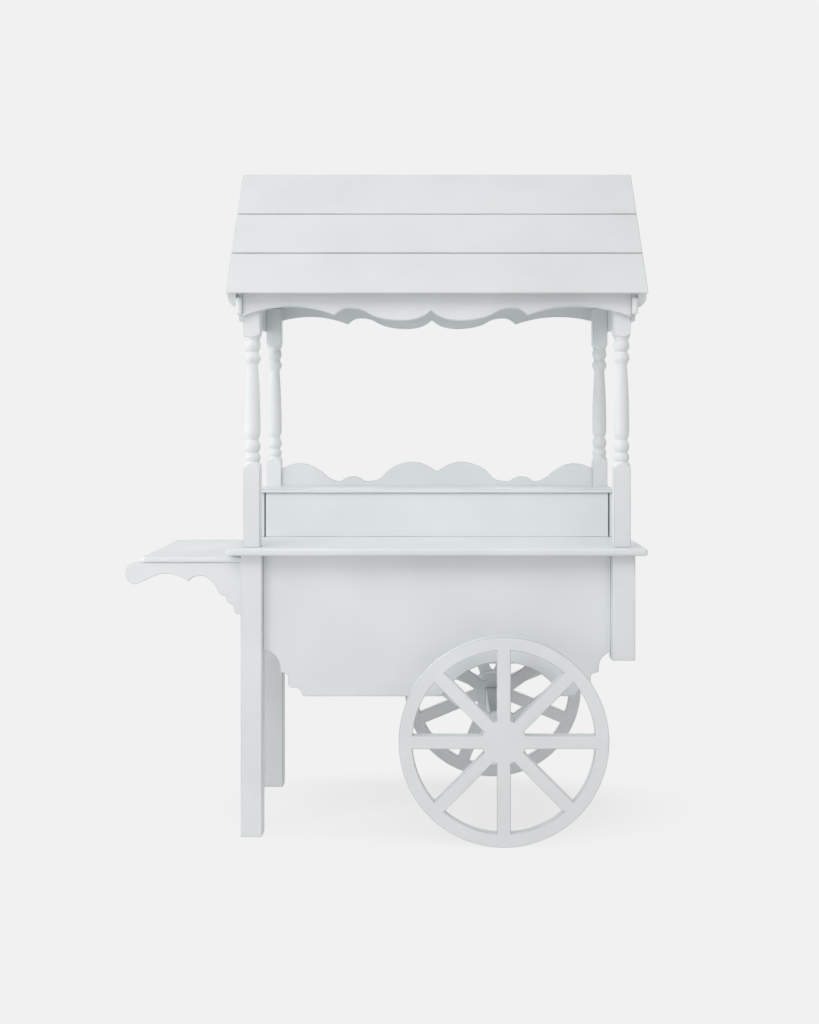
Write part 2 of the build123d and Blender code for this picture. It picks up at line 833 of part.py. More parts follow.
shelf_dowel_z = (bracket_top - shelf_dowel_depth, bracket_top + shelf_dowel_depth)
shelf_dowel_places = [(-leg_outer_x - out, side * leg_y)
                      for out in (shelf_dowel_inset, shelf_length - shelf_dowel_inset) for side in SIDES]


def shelf_dowel_holes():
    holes = Part()
    low, high = shelf_dowel_z
    for x, y in shelf_dowel_places:
        holes = holes + rod_z(shelf_dowel_diameter / 2 + fastener_clearance,
                              (low - fastener_clearance, high + fastener_clearance), x, y)
    return holes


# Scroll brackets: a ball at the end of the handle, a neck, and the scroll back to the leg
def shelf_bracket():
    def at(out, down):
        return (-leg_outer_x - out, bracket_top - down)

    def scroll_at(out_share, down_share):
        return at(out_share * handle_reach, down_share * bracket_height)

    bow = handle_radius * math.sqrt(0.5)
    neck = at(handle_reach - handle_radius - handle_neck_length, handle_neck_depth)
    scroll = [(scroll_at(*middle), scroll_at(*end)) for middle, end in bracket_scroll]
    face = outline(
        at(0, 0), at(handle_reach, 0),
        (at(handle_reach + handle_radius, handle_radius), at(handle_reach, 2 * handle_radius)),
        (at(handle_reach - bow, handle_radius + bow), neck),
        *scroll, at(0, bracket_height))
    plate = plate_xz(face, (leg_y - bracket_thickness / 2, leg_y + bracket_thickness / 2))
    for height in bracket_dowel_heights:
        plate = plate - bracket_dowel_hole(height, leg_y)
    return plate - shelf_dowel_holes()


bracket = shelf_bracket()
save("rear_shelf_bracket", bracket)
save("front_shelf_bracket", mirror_y(bracket))
save("bracket_dowels", *[rod_x(bracket_dowel_diameter / 2, bracket_dowel_x, side * leg_y, height)
                         for side in SIDES for height in bracket_dowel_heights])
save("shelf_dowels", *[rod_z(shelf_dowel_diameter / 2, shelf_dowel_z, x, y) for x, y in shelf_dowel_places])

# Side shelf with three rounded edges, square where it meets the legs
shelf_round = min(shelf_edge_round, shelf_thickness * rounding_limit)
shelf_z = (bracket_top, shelf_top)
shelf = block((-leg_outer_x - shelf_length, -leg_outer_x), (-shelf_half_depth, shelf_half_depth), shelf_z)
shelf = fillet(shelf.faces().sort_by(Axis.X)[0].edges().filter_by(Axis.Z), shelf_corner_round)
shelf_faces = shelf.faces().sort_by(Axis.Z)
shelf_edges = shelf_faces[0].edges() + shelf_faces[-1].edges()
shelf_free_edges = [edge for edge in shelf_edges if edge.center().X < -leg_outer_x - touching]
save("side_shelf", fillet(shelf_free_edges, shelf_round) - shelf_dowel_holes())


# Wheels: a flat wheel cut from board, with a boss on the inside that holds the bush
def at_axle(shape):
    """Move a piece from the axle line to its place."""
    return Pos(axle_place, 0, wheel_radius) * shape


wheel_y = (wheel_inner_y, wheel_outer_y)
boss_y = (boss_inner_y, wheel_inner_y)


def wheel():
    shape = rod_y(wheel_radius, wheel_y) - rod_y(rim_inner_radius, wheel_y)
    spoke_end = (wheel_radius + rim_inner_radius) / 2
    spoke = block((0, spoke_end), wheel_y, (-spoke_width / 2, spoke_width / 2))
    for index in range(spoke_count):
        shape = shape + Rot(0, index * 360 / spoke_count, 0) * spoke
    shape = shape + rod_y(hub_radius, wheel_y)
    bore = rod_y(bush_seat_radius, (wheel_inner_y, wheel_outer_y - axle_cover))
    return shape - bore - boss_screw_holes((wheel_inner_y, wheel_inner_y + screw_bite))


def boss_screw_places():
    """Screws around the boss, half way between its bore and its rim and half way between two spokes."""
    radius = (bush_seat_radius + boss_radius) / 2
    turns = [2 * math.pi * (index + 0.5) / boss_screw_count for index in range(boss_screw_count)]
    return [(radius * math.cos(turn), radius * math.sin(turn)) for turn in turns]


def boss_screw_holes(y_range):
    holes = Part()
    for x, z in boss_screw_places():
        holes = holes + rod_y(screw_diameter / 2 + fastener_clearance, y_range, x, z)
    return holes


def hub_boss():
    shape = rod_y(boss_radius, boss_y) - rod_y(axle_radius + bore_clearance, boss_y)
    shape = shape - rod_y(bush_seat_radius, (bush_inner_y, wheel_inner_y)) - boss_screw_holes(boss_y)
    for x, z in boss_screw_places():
        shape = shape - rod_y(screw_head_diameter / 2 + fastener_clearance,
                              (boss_inner_y, boss_inner_y + screw_head_height), x, z)
    return shape - rod_z(hub_screw_diameter / 2 + fastener_clearance, (-boss_radius, 0), 0, hub_screw_y)


def hub_bush():
    bush_y = (bush_inner_y, axle_end_y)
    return rod_y(bush_outer_radius, bush_y) - rod_y(bush_bore_radius, bush_y)


def hub_screw():
    tip = axle_radius - groove_depth + groove_gap
    return rod_z(hub_screw_diameter / 2, (hub_screw_recess - boss_radius, -tip), 0, hub_screw_y)


def boss_screws():
    seat = boss_inner_y + screw_head_height
    tip = wheel_inner_y + screw_bite - screw_tip_gap
    return [screw_y(x, z, seat, tip) for x, z in boss_screw_places()]


wheel_pieces = {"wheel": [wheel()], "hub_boss": [hub_boss()], "hub_bush": [hub_bush()],
                "hub_screw": [hub_screw()], "boss_screws": boss_screws()}
for name, solids in wheel_pieces.items():
    save(f"front_{name}", *[at_axle(mirror_y(solid)) for solid in solids])
    save(f"rear_{name}", *[at_axle(Rot(0, rear_wheel_turn, 0) * solid) for solid in solids])

# Fixed axle in a timber beam, with a groove near each end for the hub screw to run in
beam_range = (-beam_width / 2, beam_width / 2)
groove_half_width = hub_screw_diameter / 2 + groove_gap
axle = rod_y(axle_radius, (-axle_end_y, axle_end_y))
for side in SIDES:
    groove_y = (side * hub_screw_y - groove_half_width, side * hub_screw_y + groove_half_width)
    axle = axle - (rod_y(axle_radius, groove_y) - rod_y(axle_radius - groove_depth, groove_y))
pin_hole = rod_z(lock_pin_diameter / 2 + fastener_clearance, beam_range)
save("axle", at_axle(axle - pin_hole))

beam_y = (-beam_end_y, beam_end_y)
beam = block(beam_range, beam_y, beam_range) - rod_y(axle_radius + fastener_clearance, beam_y)
save("axle_beam", at_axle(beam - pin_hole))
save("axle_lock_pin", at_axle(rod_z(lock_pin_diameter / 2, beam_range)))

# A washer at each end of the beam takes the side thrust of its wheel
washer_y = (beam_end_y, beam_end_y + washer_thickness)
washer = rod_y(washer_diameter / 2, washer_y) - rod_y(axle_radius + fastener_clearance, washer_y)
save("thrust_washers", at_axle(washer), at_axle(mirror_y(washer)))
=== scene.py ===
# %% [markdown]
# # A candy cart in satin white
# The cart is planed board, sawn to scrolls and scallops, with turned posts and two spoked wheels, all
# sprayed white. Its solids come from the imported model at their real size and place, so nothing here has
# to be fitted. This lesson dresses them: each painted board gets the rounded edges that sanding and paint
# leave, the fasteners are modelled afresh, and every finish is built up from what the real one is.

# %% Load the cart
import json
import math

import bpy
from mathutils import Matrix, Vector


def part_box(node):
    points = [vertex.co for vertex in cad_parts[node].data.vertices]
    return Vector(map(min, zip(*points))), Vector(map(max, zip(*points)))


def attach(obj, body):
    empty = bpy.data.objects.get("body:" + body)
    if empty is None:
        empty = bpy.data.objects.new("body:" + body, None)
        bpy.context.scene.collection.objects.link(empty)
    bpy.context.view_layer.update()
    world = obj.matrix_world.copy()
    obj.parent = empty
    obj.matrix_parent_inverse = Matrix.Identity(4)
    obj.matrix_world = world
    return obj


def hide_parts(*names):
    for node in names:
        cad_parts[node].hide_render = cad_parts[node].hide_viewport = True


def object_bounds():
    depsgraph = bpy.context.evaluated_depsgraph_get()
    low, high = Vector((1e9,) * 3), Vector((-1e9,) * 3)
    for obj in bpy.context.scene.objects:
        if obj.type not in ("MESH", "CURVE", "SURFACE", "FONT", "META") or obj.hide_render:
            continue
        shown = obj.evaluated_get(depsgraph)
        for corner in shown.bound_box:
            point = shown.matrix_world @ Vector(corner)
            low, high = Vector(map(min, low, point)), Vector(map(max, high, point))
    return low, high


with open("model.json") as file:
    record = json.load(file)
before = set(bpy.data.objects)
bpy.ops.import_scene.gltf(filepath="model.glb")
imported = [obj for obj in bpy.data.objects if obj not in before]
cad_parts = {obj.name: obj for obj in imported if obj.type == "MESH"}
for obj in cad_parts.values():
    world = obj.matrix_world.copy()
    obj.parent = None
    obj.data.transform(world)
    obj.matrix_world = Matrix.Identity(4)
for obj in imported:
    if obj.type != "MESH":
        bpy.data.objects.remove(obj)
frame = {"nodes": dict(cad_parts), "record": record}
cad_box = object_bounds()
scene = bpy.context.scene
bpy.ops.object.select_all(action="DESELECT")
MM = 0.001
print("nodes:", len(frame["nodes"]), "box:", [round(v, 3) for v in cad_box[1] - cad_box[0]])

# %% [markdown]
# ## The camera
# The photograph looks straight at the long side, from chest height, four metres in front of the near
# wheel. The camera stays level, so upright posts stay upright, and a lens shift moves the frame instead
# of tilting it, as an architect's camera does. A level camera with shift was chosen because the posts in
# the photograph don't lean together.

# %% Place the camera
IMAGE_WIDTH = 819
IMAGE_HEIGHT = 1024
AXIS_COLUMN = 437
AXIS_ROW = 418
VIEW_DISTANCE = 4.0
VIEW_HEIGHT = 1.264
MM_PER_PIXEL = 2.94

wheel_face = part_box("front_wheel")[0].y
table_low, table_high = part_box("tabletop")
camera_data = bpy.data.cameras.new("level_camera")
camera = bpy.data.objects.new("level_camera", camera_data)
scene.collection.objects.link(camera)
camera.location = ((table_low.x + table_high.x) / 2, wheel_face - VIEW_DISTANCE, VIEW_HEIGHT)
camera.rotation_euler = (math.radians(90), 0, 0)
camera_data.lens = VIEW_DISTANCE / (MM_PER_PIXEL * MM) / IMAGE_HEIGHT * camera_data.sensor_width
camera_data.shift_x = (IMAGE_WIDTH / 2 - AXIS_COLUMN) / IMAGE_HEIGHT
camera_data.shift_y = (AXIS_ROW - IMAGE_HEIGHT / 2) / IMAGE_HEIGHT
scene.camera = camera
print("lens:", round(camera_data.lens, 2))
print("shift:", round(camera_data.shift_x, 4), round(camera_data.shift_y, 4))

# %% [markdown]
# ## Colours and nodes
# A colour picked from a picture is an sRGB value, but a shader adds up light and wants a linear one. One
# small function turns the first into the second. A second one adds a shader node, sets its options and
# fills its sockets, so that a finish reads as a short list, and a third starts an empty finish. Typing
# every link out would work too, but it hides the idea.

# %% Three helpers for finishes
def linear(hex_colour):
    """Gives the linear RGBA of an sRGB colour written as #RRGGBB."""
    channels = [int(hex_colour[start:start + 2], 16) / 255 for start in (1, 3, 5)]
    return [c / 12.92 if c <= 0.04045 else ((c + 0.055) / 1.055) ** 2.4 for c in channels] + [1.0]


def add_node(tree, kind, inputs=None, **settings):
    """Adds one shader node. An input is a constant, or the socket that it is linked to."""
    node = tree.nodes.new("ShaderNode" + kind)
    for name, value in settings.items():
        setattr(node, name, value)
    for name, value in (inputs or {}).items():
        if isinstance(value, bpy.types.NodeSocket):
            tree.links.new(value, node.inputs[name])
        else:
            node.inputs[name].default_value = value
    return node


def new_finish(name):
    """Starts a material and gives it with its empty node tree and its output."""
    material = bpy.data.materials.new(name)
    material.use_nodes = True
    tree = material.node_tree
    tree.nodes.clear()
    return material, tree, add_node(tree, "OutputMaterial")


print("white paint in linear light:", [round(c, 3) for c in linear("#E5E9EB")[:3]])

# %% [markdown]
# ## The studio
# The photograph has a pale grey floor that runs into a background of the same grey, with only a soft
# shadow under the cart. A curved paper backdrop would do that, but its bend catches the light. Here the
# floor is a plain plane whose paint keeps the shadow under the cart and turns, further out, into the
# background's own colour. The same colour is what the camera and the reflections see of the world behind
# it. A floor that throws back all that it shows would wash out the lower edges of the boards, so it
# throws back a little less.

# %% Floor and background
BACKGROUND = "#F1F1F1"
FLOOR_PAINT = "#FCFCFC"
FLOOR_BOUNCE = "#EDEDED"
FLOOR_SIZE = 80.0
SHADOW_REACH = (0.95, 0.50)
SHADOW_CORE = 0.45
SHADOW_LIFT = 0.72


def seen_directly(tree):
    """Gives 1 for what the camera sees, straight, mirrored or through glass, and 0 for other light."""
    path = add_node(tree, "LightPath").outputs
    seen = add_node(tree, "Math", {0: path["Is Camera Ray"], 1: path["Is Glossy Ray"]}, operation="MAXIMUM")
    seen = add_node(tree, "Math", {0: seen.outputs[0], 1: path["Is Transmission Ray"]}, operation="MAXIMUM")
    return seen.outputs[0]


bpy.ops.mesh.primitive_plane_add(size=FLOOR_SIZE, location=(0, 0, 0))
floor = bpy.context.object
floor.name = "pale_floor"
floor_finish, tree, output = new_finish("pale_studio_floor")
place = add_node(tree, "TexCoord").outputs["Object"]
footprint = [1 / SHADOW_REACH[0], 1 / SHADOW_REACH[1], 1.0]
shift = [-camera.location.x / SHADOW_REACH[0], 0.0, 0.0]
under_cart = add_node(tree, "Mapping", {"Vector": place, "Scale": footprint, "Location": shift}).outputs[0]
distance = add_node(tree, "VectorMath", {0: under_cart}, operation="LENGTH").outputs["Value"]
fade = add_node(tree, "MapRange", {"Value": distance, "From Min": SHADOW_CORE, "From Max": 1.0,
                                   "To Min": SHADOW_LIFT, "To Max": 1.0},
                interpolation_type="SMOOTHSTEP").outputs[0]
share = add_node(tree, "Math", {0: fade, 1: seen_directly(tree)}, operation="MULTIPLY").outputs[0]
floor_tone = add_node(tree, "Mix", {0: seen_directly(tree), 6: linear(FLOOR_BOUNCE), 7: linear(FLOOR_PAINT)},
                      data_type="RGBA").outputs[2]
near_floor = add_node(tree, "BsdfDiffuse", {"Color": floor_tone}).outputs[0]
far_floor = add_node(tree, "Emission", {"Color": linear(BACKGROUND), "Strength": 1.0}).outputs[0]
floor_mix = add_node(tree, "MixShader", {0: share, 1: near_floor, 2: far_floor}).outputs[0]
tree.links.new(floor_mix, output.inputs["Surface"])
floor.data.materials.append(floor_finish)
print("floor:", FLOOR_SIZE, "m, shadow kept within", SHADOW_REACH, "m")

# %% [markdown]
# ## The light
# The tones say how the cart was lit. Fronts are bright and right-hand sides of the posts are dark, so a
# big soft light stands in front on the left, with a low one under it and one beside the cart. The roof is
# as bright as the fronts, so another hangs high in front and the dim room is brighter overhead. A weak
# one on the right and one behind keep the shaded sides from going black, and a small one under the eaves
# lights the counter. One lamp and a bright room would be simpler, but light from all round flattens the
# turned posts. The lamps are set so that a colour renders about as it is written, and the room is a touch
# warm, as the shaded boards are.

# %% World and lamps
ROOM_TINT = "#FFFDF8"
HORIZON_LIGHT = 0.36
ZENITH_LIGHT = 0.46
KEY_POWER = 66.0
FRONT_POWER = 50.0
LOW_POWER = 28.0
LEFT_POWER = 70.0
RIGHT_POWER = 33.0
BACK_POWER = 80.0
COUNTER_LAMP_POWER = 1.10
BIG_BOX = (3.0, 3.0)
SIDE_BOX = (2.4, 2.4)
LOW_BOX = (2.0, 2.0)
COUNTER_BOX = (1.0, 0.45)

world = bpy.data.worlds.new("soft_studio")
scene.world = world
world.use_nodes = True
tree = world.node_tree
tree.nodes.clear()
direction = add_node(tree, "TexCoord").outputs["Generated"]
height = add_node(tree, "SeparateXYZ", {0: direction}).outputs["Z"]
level = add_node(tree, "MapRange", {"Value": height, "To Min": HORIZON_LIGHT,
                                    "To Max": ZENITH_LIGHT}).outputs[0]
room_light = add_node(tree, "Background", {"Color": linear(ROOM_TINT), "Strength": level}).outputs[0]
backdrop = add_node(tree, "Background", {"Color": linear(BACKGROUND), "Strength": 1.0}).outputs[0]
mixed = add_node(tree, "MixShader", {0: seen_directly(tree), 1: room_light, 2: backdrop}).outputs[0]
add_node(tree, "OutputWorld", {"Surface": mixed})


def soft_lamp(name, place, aim, size, power):
    """A rectangular soft light that faces a point and stays out of the picture itself."""
    data = bpy.data.lights.new(name, "AREA")
    data.shape = "RECTANGLE"
    data.size, data.size_y = size
    data.energy = power
    lamp = bpy.data.objects.new(name, data)
    scene.collection.objects.link(lamp)
    lamp.location = place
    lamp.rotation_euler = (Vector(aim) - Vector(place)).to_track_quat("-Z", "Y").to_euler()
    lamp.visible_camera = False
    lamp.visible_glossy = False


cart_middle = (cad_box[0] + cad_box[1]) / 2
counter_middle = Vector(((table_low.x + table_high.x) / 2, 0, table_high.z))
under_eaves = counter_middle + Vector((0, -0.12, 0.66))
soft_lamp("key_softbox", (-2.4, -3.4, 4.6), cart_middle, BIG_BOX, KEY_POWER)
soft_lamp("front_softbox", (0.0, -4.4, 5.0), cart_middle, BIG_BOX, FRONT_POWER)
soft_lamp("low_softbox", (-3.6, -4.6, 1.2), cart_middle, LOW_BOX, LOW_POWER)
soft_lamp("left_softbox", (-4.6, -0.6, 2.2), cart_middle, SIDE_BOX, LEFT_POWER)
soft_lamp("right_softbox", (3.6, -3.6, 3.0), cart_middle, BIG_BOX, RIGHT_POWER)
soft_lamp("back_softbox", (0.8, 4.8, 2.2), cart_middle, BIG_BOX, BACK_POWER)
soft_lamp("counter_lamp", under_eaves, counter_middle, COUNTER_BOX, COUNTER_LAMP_POWER)
scene.view_settings.view_transform = "Standard"

# %% [markdown]
# ## Satin white paint on planed board
# The cart is taken to be wooden board, planed, primed and sprayed with a satin acrylic. Up close such
# paint isn't one flat colour: the grain of the board telegraphs through as long low ridges, the spray
# leaves a fine orange peel, and the tone drifts a little from board to board. One plain white would be
# simpler, but it looks like plastic. The ridges follow the board's length, so there is one finish for
# boards along each axis. Orange peel is about 1 mm across and is drawn at 3 mm so that it shows.

# %% The painted finishes
PAINT_WHITE = "#E5E9EB"
PAINT_SHADED = "#E0E4E6"
# The edges' two tones are darker than the faces: partly rubbed wear, partly painted shade along every edge.
EDGE_PAINT_WITH_PAINTED_SHADE = "#D9DDDF"
RUBBED_EDGE_PAINT_WITH_PAINTED_SHADE = "#C4C8C9"
GRAIN_WIDTH = 6 * MM
GRAIN_LENGTH = 220 * MM
GRAIN_DEPTH = 0.10 * MM
PEEL_SIZE = 3 * MM
PEEL_DEPTH = 0.02 * MM
DRIFT_SIZE = 260 * MM
HANDLING_SIZE = 70 * MM
FACE_ROUGHNESS = (0.48, 0.60)
EDGE_ROUGHNESS = (0.40, 0.52)
PAINT_IOR = 1.48
RELIEF = 0.5


def satin_paint(name, along, main_colour, other_colour, roughness):
    """Sprayed satin paint over planed board whose grain runs along the given axis, 0 to 2."""
    material, tree, output = new_finish(name)
    place = add_node(tree, "TexCoord").outputs["Object"]
    stretch = [1 / GRAIN_WIDTH] * 3
    stretch[along] = 1 / GRAIN_LENGTH
    streaks = add_node(tree, "Mapping", {"Vector": place, "Scale": stretch}).outputs[0]
    grain = add_node(tree, "TexNoise", {"Vector": streaks, "Scale": 1.0, "Detail": 3.0}).outputs[0]
    peel = add_node(tree, "TexNoise", {"Vector": place, "Scale": 1 / PEEL_SIZE, "Detail": 1.0}).outputs[0]
    drift = add_node(tree, "TexNoise", {"Vector": place, "Scale": 1 / DRIFT_SIZE, "Detail": 2.0}).outputs[0]
    touch = add_node(tree, "TexNoise", {"Vector": place, "Scale": 1 / HANDLING_SIZE,
                                        "Detail": 3.0}).outputs[0]
    tone = add_node(tree, "MapRange", {"Value": drift, "From Min": 0.35, "From Max": 0.65}).outputs[0]
    colour = add_node(tree, "Mix", {0: tone, 6: linear(main_colour), 7: linear(other_colour)},
                      data_type="RGBA").outputs[2]
    gloss = add_node(tree, "MapRange", {"Value": touch, "From Min": 0.3, "From Max": 0.7,
                                        "To Min": roughness[0], "To Max": roughness[1]}).outputs[0]
    ridges = add_node(tree, "Bump", {"Height": grain, "Strength": RELIEF,
                                     "Distance": GRAIN_DEPTH}).outputs[0]
    surface = add_node(tree, "Bump", {"Height": peel, "Strength": RELIEF, "Distance": PEEL_DEPTH,
                                      "Normal": ridges}).outputs[0]
    paint = add_node(tree, "BsdfPrincipled", {"Base Color": colour, "Roughness": gloss, "Normal": surface,
                                              "IOR": PAINT_IOR}).outputs[0]
    tree.links.new(paint, output.inputs["Surface"])
    return material


painted = [satin_paint(f"satin_white_paint_grain_{axis}", along, PAINT_WHITE, PAINT_SHADED, FACE_ROUGHNESS)
           for along, axis in enumerate("xyz")]
# The edge finishes: darker paint for the bevels, partly rubbed wear and partly painted shade.
rubbed_and_painted_shade_edges = [satin_paint(f"rubbed_satin_edge_grain_{axis}", along, EDGE_PAINT_WITH_PAINTED_SHADE, RUBBED_EDGE_PAINT_WITH_PAINTED_SHADE, EDGE_ROUGHNESS)
          for along, axis in enumerate("xyz")]
print("paints:", [m.name for m in painted + rubbed_and_painted_shade_edges])

# %% [markdown]
# ## Easing the edges of the boards
# No painted edge is as sharp as a drawn one: a maker runs sandpaper along it, and paint rounds it
# further. That thin round catches the light and draws every board. Each board could be modelled again
# from a cube, but the solid already has the right scallops and scrolls. So the lesson copies its mesh,
# welds the loose triangles, dissolves the lines across flat faces, marks the sharp edges and bevels
# those, with the bevel's own faces in a darker paint that is partly rubbed wear and partly painted shade
# along the edge. A bevel that clamps itself to the shortest edge nearby all but vanishes on a scallop, so
# the clamp is off and the width is small enough to do without.

# %% How to ease one board
WELD = 0.01 * MM
FLAT_ANGLE = math.radians(0.1)
SHARP_ANGLE = math.radians(32)
nodes_of_body = frame["record"]["behaviour"]["bodies"]
body_of_node = {node: body for body, nodes in nodes_of_body.items() for node in nodes}


def pick(piece):
    """Selects one object alone and makes it the active one, as a click does."""
    bpy.ops.object.select_all(action="DESELECT")
    piece.select_set(True)
    bpy.context.view_layer.objects.active = piece


def apply_modifier(piece, kind, **settings):
    """Adds a modifier, sets it and applies it."""
    pick(piece)
    bpy.ops.object.modifier_add(type=kind)
    modifier = piece.modifiers[-1]
    for name, value in settings.items():
        setattr(modifier, name, value)
    bpy.ops.object.modifier_apply(modifier=modifier.name)


def stand_in(piece, node):
    """Makes a piece ride where its solid rides and hides that solid."""
    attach(piece, body_of_node[node])
    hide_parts(node)


def welded_copy(node, name):
    """A copy of a node's mesh with its loose triangles welded and its flat faces whole."""
    piece = bpy.data.objects.new(name, frame["nodes"][node].data.copy())
    scene.collection.objects.link(piece)
    pick(piece)
    bpy.ops.mesh.customdata_custom_splitnormals_clear()
    bpy.ops.object.mode_set(mode="EDIT")
    bpy.ops.mesh.select_all(action="SELECT")
    bpy.ops.mesh.remove_doubles(threshold=WELD)
    bpy.ops.mesh.dissolve_limited(angle_limit=FLAT_ANGLE)
    bpy.ops.object.mode_set(mode="OBJECT")
    return piece


def mark_sharp_edges(piece, shortest):
    """Marks, for the bevel, the sharp edges that are at least so long."""
    bpy.ops.object.mode_set(mode="EDIT")
    bpy.ops.mesh.select_mode(type="EDGE")
    bpy.ops.mesh.select_all(action="DESELECT")
    bpy.ops.mesh.edges_select_sharp(sharpness=SHARP_ANGLE)
    bpy.ops.object.mode_set(mode="OBJECT")
    places = [vertex.co for vertex in piece.data.vertices]
    marks = piece.data.attributes.new("bevel_weight_edge", "FLOAT", "EDGE").data
    for edge, mark in zip(piece.data.edges, marks):
        start, end = (places[index] for index in edge.vertices)
        mark.value = float(edge.select and (end - start).length >= shortest)


def eased_copy(node, face_finish, edge_finish, radius, steps=3, shortest=0.0):
    """A copy of a solid with its sharp edges rounded over, and those edges in a finish of their own;
    on painted boards that finish is darker, partly rubbed wear and partly painted shade.
    """
    piece = welded_copy(node, "eased_" + node)
    piece.data.materials.clear()
    piece.data.materials.append(face_finish)
    piece.data.materials.append(edge_finish)
    mark_sharp_edges(piece, shortest)
    # The bevel's faces take the second finish; on painted boards it carries painted shade along the edge.
    apply_modifier(piece, "BEVEL", width=radius, segments=steps, limit_method="WEIGHT",
                   use_clamp_overlap=False, loop_slide=False, material=1)
    bpy.ops.object.shade_smooth_by_angle(angle=SHARP_ANGLE)
    apply_modifier(piece, "WEIGHTED_NORMAL", keep_sharp=True)
    stand_in(piece, node)
    return piece


# %% [markdown]
# ## Which board is eased how
# Grain runs along a board, so each board is listed under the axis that it lies along, and its paint
# follows. Most edges get a round of 2.4 mm, as a few strokes of sandpaper give, and pieces that run close
# to others get less. Posts, rails and gables have turned or moulded forms that are soft already, so only
# their long straight edges are eased. One round for all would be simpler, but it would eat the beads of
# the posts.

# %% Ease every painted board
ALONG_X = ("tabletop", "front_side_panel", "rear_side_panel", "step_riser", "step_shelf",
           "scalloped_backboard", "front_valance", "rear_valance", "ridge_beam", "side_panel_battens",
           "table_cleats",
           "front_lower_roof_board", "front_middle_roof_board", "front_upper_roof_board",
           "rear_lower_roof_board", "rear_middle_roof_board", "rear_upper_roof_board",
           "front_shelf_bracket", "rear_shelf_bracket", "front_axle_hanger", "rear_axle_hanger",
           "front_wheel", "rear_wheel")
ALONG_Y = ("side_shelf", "left_side_rail", "right_side_rail", "left_gable_board", "right_gable_board",
           "left_end_panel", "right_end_panel", "step_left_end", "step_right_end", "axle_beam",
           "roof_battens")
ALONG_Z = ("front_left_leg", "rear_left_leg", "front_right_stub", "rear_right_stub",
           "front_left_post", "front_right_post", "rear_left_post", "rear_right_post", "end_panel_battens",
           "front_hub_boss", "rear_hub_boss")
EDGE_ROUND = 2.4 * MM
OTHER_ROUNDS = {"scalloped_backboard": 2.0 * MM, "axle_beam": 0.6 * MM, "front_hub_boss": 0.6 * MM,
                "rear_hub_boss": 0.6 * MM}
STRAIGHT_EDGE = 30 * MM
STRAIGHT_ONLY = ("left_side_rail", "right_side_rail", "left_gable_board", "right_gable_board",
                 "front_left_post", "front_right_post", "rear_left_post", "rear_right_post")

boards = []
for along, nodes in enumerate((ALONG_X, ALONG_Y, ALONG_Z)):
    for node in nodes:
        boards.append(eased_copy(node, painted[along], rubbed_and_painted_shade_edges[along],
                                 OTHER_ROUNDS.get(node, EDGE_ROUND),
                                 shortest=STRAIGHT_EDGE if node in STRAIGHT_ONLY else 0.0))
print("boards eased:", len(boards), "faces:", sum(len(b.data.polygons) for b in boards))

# %% [markdown]
# ## Bare metal and bare wood
# A few pieces stay unpainted. Screws, washers and the lock pin are bright zinc plate, which is a cool
# grey with a faint cloudy crystal. The axle is cold drawn steel, whose die leaves fine lines along the
# bar. The bushes are sintered bronze, pressed from powder, so their surface is a field of tiny pores.
# Dowels are beech, pale brown with short dark flecks. All four are the same idea, a noise stretched to
# the mark that the making leaves, so one function builds them from a few real sizes. The pores and drawn
# lines are drawn three times too coarse, to show.

# %% The bare finishes
def bare_finish(name, colours, mark_size, mark_depth, roughness, metallic):
    """A surface that shows the mark of its making: two tones, a stretched noise, and a shallow relief."""
    material, tree, output = new_finish(name)
    place = add_node(tree, "TexCoord").outputs["Object"]
    scale = [1 / size for size in mark_size]
    marks = add_node(tree, "Mapping", {"Vector": place, "Scale": scale}).outputs[0]
    noise = add_node(tree, "TexNoise", {"Vector": marks, "Scale": 1.0, "Detail": 4.0}).outputs[0]
    level = add_node(tree, "MapRange", {"Value": noise, "From Min": 0.35, "From Max": 0.65}).outputs[0]
    colour = add_node(tree, "Mix", {0: level, 6: linear(colours[0]), 7: linear(colours[1])},
                      data_type="RGBA").outputs[2]
    gloss = add_node(tree, "MapRange", {"Value": noise, "From Min": 0.3, "From Max": 0.7,
                                        "To Min": roughness[0], "To Max": roughness[1]}).outputs[0]
    relief = add_node(tree, "Bump", {"Height": noise, "Strength": RELIEF, "Distance": mark_depth}).outputs[0]
    surface = add_node(tree, "BsdfPrincipled", {"Base Color": colour, "Roughness": gloss, "Normal": relief,
                                                "Metallic": metallic}).outputs[0]
    tree.links.new(surface, output.inputs["Surface"])
    return material


ZINC_TONES, ZINC_ROUGHNESS = ("#C3C7CB", "#A9AEB4"), (0.26, 0.40)
STEEL_TONES, STEEL_ROUGHNESS = ("#B4B5B6", "#97999B"), (0.22, 0.36)
BRONZE_TONES, BRONZE_ROUGHNESS = ("#A9834E", "#7F5F36"), (0.42, 0.58)
BEECH_TONES, BEECH_ROUGHNESS = ("#DDBD92", "#C59E6E"), (0.55, 0.70)
CRYSTAL_SIZE, CRYSTAL_DEPTH = 2.2 * MM, 0.01 * MM
DRAWN_WIDTH, DRAWN_LENGTH, DRAWN_DEPTH = 0.6 * MM, 60 * MM, 0.01 * MM
PORE_SIZE, PORE_DEPTH = 0.6 * MM, 0.05 * MM
FLECK_WIDTH, FLECK_LENGTH, FLECK_DEPTH = 0.8 * MM, 9 * MM, 0.03 * MM

